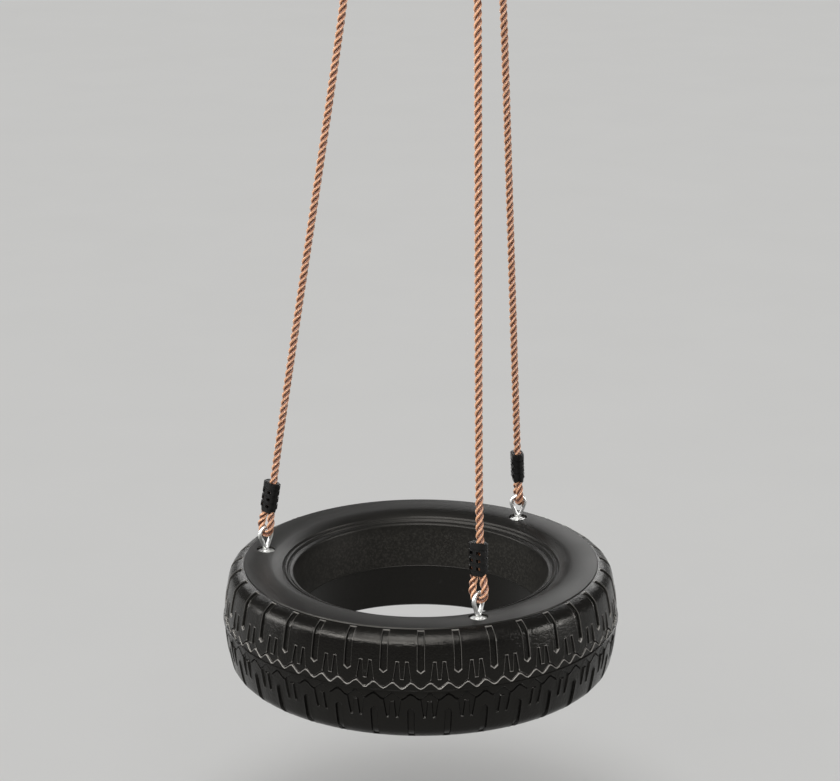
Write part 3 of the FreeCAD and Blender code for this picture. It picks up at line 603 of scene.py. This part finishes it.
def lay_strands(line, step):
    """Three strands laid right-handed round a line, with a yarn map on each."""
    tangents = np.gradient(line, axis=0)
    tangents /= np.linalg.norm(tangents, axis=1)[:, None]
    side = np.cross(tangents[0], FIRST_SIDE)
    side /= np.linalg.norm(side)
    strand_points, strand_faces, strand_map = [], [], []
    sides = []
    for tangent in tangents:
        side = side - tangent * side.dot(tangent)
        side /= np.linalg.norm(side)
        sides.append(side)
    fold = [abs(k / STRAND_SIDES * 2 - 1) for k in range(STRAND_SIDES)]
    angles = sorted(math.copysign(math.pi * (1 - f) ** SIDE_SPREAD, k - STRAND_SIDES / 2)
                    for k, f in enumerate(fold))
    for strand in range(3):
        base = len(strand_points)
        for k, (middle, tangent, side) in enumerate(zip(line, tangents, sides)):
            turn = 2 * math.pi * (strand / 3 + k * step / LAY_LENGTH)
            out = side * math.cos(turn) + np.cross(tangent, side) * math.sin(turn)
            round_way = np.cross(tangent, out)
            for angle in angles:
                outward = out * (STRAND_OFFSET + STRAND_R * math.cos(angle))
                strand_points.append(middle + outward + round_way * STRAND_R * math.sin(angle))
        count = len(angles)
        for k in range(len(line) - 1):
            for s in range(count):
                after = (s + 1) % count
                first = base + k * count
                strand_faces.append((first + s, first + after, first + count + after, first + count + s))
                span = (s / count, (s + 1) / count)
                strand_map.append([(span[0], k), (span[1], k), (span[1], k + 1), (span[0], k + 1)])
        strand_faces.append(tuple(base + s for s in range(count))[::-1])
        strand_map.append([(0.5, 0)] * count)
        last = base + (len(line) - 1) * count
        strand_faces.append(tuple(last + s for s in range(count)))
        strand_map.append([(0.5, len(line))] * count)
    return strand_points, strand_faces, strand_map


# Polypropylene yarns, tan brown with a fibre tone, and painted shade darkening each
# strand from its crown towards its flanks and the grooves between the strands.
YARNS = 9
laid = Finish("laid_rope", (0.45, 0.23, 0.12), 0.38, **{"Sheen Weight": 0.25, "Sheen Roughness": 0.4})
yarn_place = laid.node("ShaderNodeUVMap", {"uv_map": "yarns"}, {})
bands = {"wave_type": "BANDS", "bands_direction": "X", "wave_profile": "SIN"}
yarn = laid.node("ShaderNodeTexWave", bands,
                 {"Vector": laid.stretched(yarn_place, (1.0, 0.035, 1.0)), "Scale": YARNS / 2,
                  "Distortion": 0.6, "Detail": 1.0, "Detail Scale": 2.0})
fibre = laid.noise(laid.stretched(yarn_place, (90.0, 0.35, 1.0)), 1.0, 3.0, 0.6)
patch = laid.noise(laid.place(), 60.0, 3.0, 0.6)
around = laid.node("ShaderNodeSeparateXYZ", {}, {"Vector": yarn_place})
off_groove = laid.node("ShaderNodeMath", {"operation": "ABSOLUTE"}, {0: around - 0.5})
# Painted shade: each strand darkens from its crown towards its flanks and the grooves between strands.
groove_shade = laid.rise(off_groove, 0.03, 0.30)
fibre_tone_and_lower_shade = laid.mix(fibre, (0.34, 0.145, 0.065), (0.66, 0.37, 0.215))
lit = laid.mix(patch * 0.4, fibre_tone_and_lower_shade, (0.52, 0.26, 0.135))
laid.set(**{"Base Color": laid.mix(groove_shade, lit, (0.085, 0.022, 0.006))})
laid.set(Roughness=0.24 + fibre * 0.2)
laid.set(Normal=laid.bump(yarn * 0.7 + fibre * 0.5, 0.0003, 0.9))

for index in range(3):
    route = rope_route(index)
    line, length = centre_line(f"rope_line_{index + 1}", route)
    rope_points, rope_faces, rope_map = lay_strands(line, length / (len(line) - 1))
    rope = add_mesh(f"laid_rope_{index + 1}", rope_points, rope_faces, laid)
    yarns = rope.data.uv_layers.new(name="yarns")
    corner = 0
    for face in rope_map:
        for place in face:
            yarns.data[corner].uv = place
            corner += 1
    rope.data.shade_smooth()
    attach(rope, "swing")
    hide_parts(f"rope_{index + 1}")


# ------------------------------------------------------------- the rope clamps
# A clamp is a pair of black nylon shells, ribbed and with windows, pressed
# together round the rope and its tail.
nylon = Finish("black_nylon", (0.01, 0.01, 0.01), 0.34, **{"Specular IOR Level": 0.16})
nylon_place = nylon.place()
nylon_cloud = nylon.noise(nylon_place, 120.0, 3.0, 0.6)
nylon.set(Roughness=0.18 + nylon_cloud * 0.14)
nylon.set(**{"Base Color": nylon.mix(nylon_cloud, (0.003, 0.003, 0.003), (0.008, 0.0078, 0.0075))})
nylon.set(Normal=nylon.bump(nylon.noise(nylon_place, 1400.0, 2.0), 0.0002, 0.6))


def give(nodes, finish):
    """Puts a finish on carried-over nodes."""
    for name in nodes:
        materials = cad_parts[name].data.materials
        materials.clear()
        materials.append(finish.material)


clamps = [f"{end}_clamp_{k}_{half}" for end in ("lower", "upper") for k in (1, 2, 3)
          for half in ("inner", "outer")]
give(clamps + ["well_caps"], nylon)


# ------------------------------------------- eye bolts, washers, nuts and pins
# Galvanised steel: forged eye bolts, pressed washers and cold-formed nuts, with
# the zinc's soft spangle and dull patches.
zinc = Finish("galvanised_steel", (0.62, 0.62, 0.61), 0.3, Metallic=1.0)
zinc_place = zinc.place()
spangle = zinc.node("ShaderNodeTexVoronoi", {}, {"Vector": zinc_place, "Scale": 260.0}, "Distance")
dull = zinc.noise(zinc_place, 90.0, 4.0, 0.65)
zinc.set(**{"Base Color": zinc.mix(dull, (0.52, 0.52, 0.51), (0.80, 0.80, 0.78))})
zinc.set(Roughness=0.3 + dull * 0.25)
zinc.set(Normal=zinc.bump(spangle + zinc.noise(zinc_place, 700.0, 2.0) * 0.5, 0.00025, 0.5))
bolts = [f"{end}_eye_bolt_{k}" for end in ("lower", "upper") for k in (1, 2, 3)]
pins = ["fore_aft_pin", "fore_aft_pin_nut", "sideways_pin", "sideways_pin_nut",
        "swivel_bolt", "swivel_lock_nut"]
fixings = ["spider_lower_washers", "spider_upper_washers", "spider_lock_nuts", "tyre_top_washers",
           "tyre_bottom_washers", "tyre_lock_nuts"] + [f"spacer_tube_{k}" for k in (1, 2, 3)]
give(bolts + pins + fixings, zinc)


# ------------------------------------------------------- the swivelling hanger
# Hot-dip galvanised plate and bar: the ceiling plate and its lugs, the cross
# link, the yoke and the three-armed spider.  The bushes are bronze, and the
# thrust washer is nylon.
plate = Finish("zinc_plate", (0.5, 0.51, 0.52), 0.42, Metallic=1.0)
plate_place = plate.place()
crystals = plate.node("ShaderNodeTexVoronoi", {}, {"Vector": plate_place, "Scale": 110.0}, "Color")
shade = plate.node("ShaderNodeSeparateColor", {}, {"Color": crystals})
bloom = plate.noise(plate_place, 45.0, 4.0, 0.6)
plate_tone = shade * 0.6 + bloom * 0.4
plate.set(**{"Base Color": plate.mix(plate_tone, (0.17, 0.175, 0.185), (0.34, 0.345, 0.355))})
plate.set(Roughness=0.34 + bloom * 0.2)
plate.set(Normal=plate.bump(plate.noise(plate_place, 300.0, 3.0), 0.0003, 0.5))
give(["ceiling_plate", "cross_link", "swivel_yoke", "spider"], plate)

bronze = Finish("sintered_bronze", (0.5, 0.32, 0.14), 0.42, Metallic=1.0)
bronze_pores = bronze.noise(bronze.place(), 900.0, 3.0, 0.7)
bronze.set(**{"Base Color": bronze.mix(bronze_pores, (0.34, 0.2, 0.08), (0.66, 0.45, 0.22))})
bronze.set(Roughness=0.3 + bronze_pores * 0.25)
give(["fore_aft_bush", "sideways_bush", "swivel_bush"], bronze)

white_nylon = Finish("white_nylon", (0.75, 0.74, 0.69), 0.45)
white_mottle = white_nylon.noise(white_nylon.place(), 150.0, 3.0)
white_tint = white_nylon.mix(white_mottle, (0.66, 0.65, 0.6), (0.8, 0.79, 0.75))
white_nylon.set(**{"Base Color": white_tint})
white_nylon.set(Roughness=0.38 + white_mottle * 0.15)
give(["thrust_washer"], white_nylon)


# --------------------------------------------------------- the floor and light
# A plain pale floor some way under the hanging tyre.  A broad light overhead
# reaches everything, and long soft panels above, in front, at the sides and
# behind give the plastic its highlights.
FLOOR_DROP = 0.45
FLOOR_HALF = 30.0
PANEL_DISTANCE = 6.0
floor_z = cad_bounds[0][2] - FLOOR_DROP
pale = Finish("pale_floor", (0.8, 0.8, 0.79), 0.7)
floor_mottle = pale.noise(pale.place(), 3.0, 3.0)
pale.set(**{"Base Color": pale.mix(floor_mottle, (0.78, 0.78, 0.77), (0.81, 0.81, 0.80))})
corners = [(x * FLOOR_HALF, y * FLOOR_HALF, floor_z) for x, y in ((-1, -1), (1, -1), (1, 1), (-1, 1))]
floor = add_mesh("floor", corners, [(0, 1, 2, 3)], pale)

world = bpy.data.worlds.new("soft_room")
world.use_nodes = True
world.node_tree.nodes["Background"].inputs["Color"].default_value = (1.0, 0.985, 0.96, 1)
world.node_tree.nodes["Background"].inputs["Strength"].default_value = 0.14
bpy.context.scene.world = world


def aim(light, azimuth, elevation, distance):
    """Points a light at the tyre; azimuth 0 is in front and 90 to the right."""
    across, up = math.radians(azimuth), math.radians(elevation)
    back = Vector((math.sin(across) * math.cos(up), -math.cos(across) * math.cos(up), math.sin(up)))
    holder = bpy.data.objects.new(light.name, light)
    holder.location = TYRE + back * distance
    holder.rotation_euler = back.to_track_quat("Z", "Y").to_euler()
    holder.visible_camera = False
    bpy.context.scene.collection.objects.link(holder)
    return holder


def soft_panel(name, azimuth, elevation, width, height, power):
    """A soft panel of light: degrees, metres and watts."""
    panel = bpy.data.lights.new(name, "AREA")
    panel.shape = "RECTANGLE"
    panel.size, panel.size_y = width, height
    panel.energy = power
    aim(panel, azimuth, elevation, PANEL_DISTANCE).light_linking.receiver_collection = off_the_floor


# Flags keep the panels' light off the floor, which only the overhead light and
# the room reach.
off_the_floor = bpy.data.collections.new("off_the_floor")
off_the_floor.objects.link(floor)
off_the_floor.collection_objects[0].light_linking.link_state = "EXCLUDE"

sky = bpy.data.lights.new("overhead", "SUN")
sky.energy = 2.0
sky.angle = math.radians(40)
aim(sky, -8, 70, PANEL_DISTANCE)
soft_panel("top_panel", -5, 66, 5.2, 1.0, 120)
soft_panel("front_panel", -14, 37, 3.6, 0.6, 264)
soft_panel("front_left_panel", -58, 36, 3.6, 0.6, 280)
soft_panel("left_panel", -94, 16, 1.2, 2.6, 192)
soft_panel("right_panel", 80, 16, 1.2, 2.6, 240)
soft_panel("back_right_panel", 162, 23, 3.0, 1.4, 72)
soft_panel("back_left_panel", -157, 22, 2.0, 1.2, 40)
bpy.context.scene.view_settings.view_transform = "Standard"
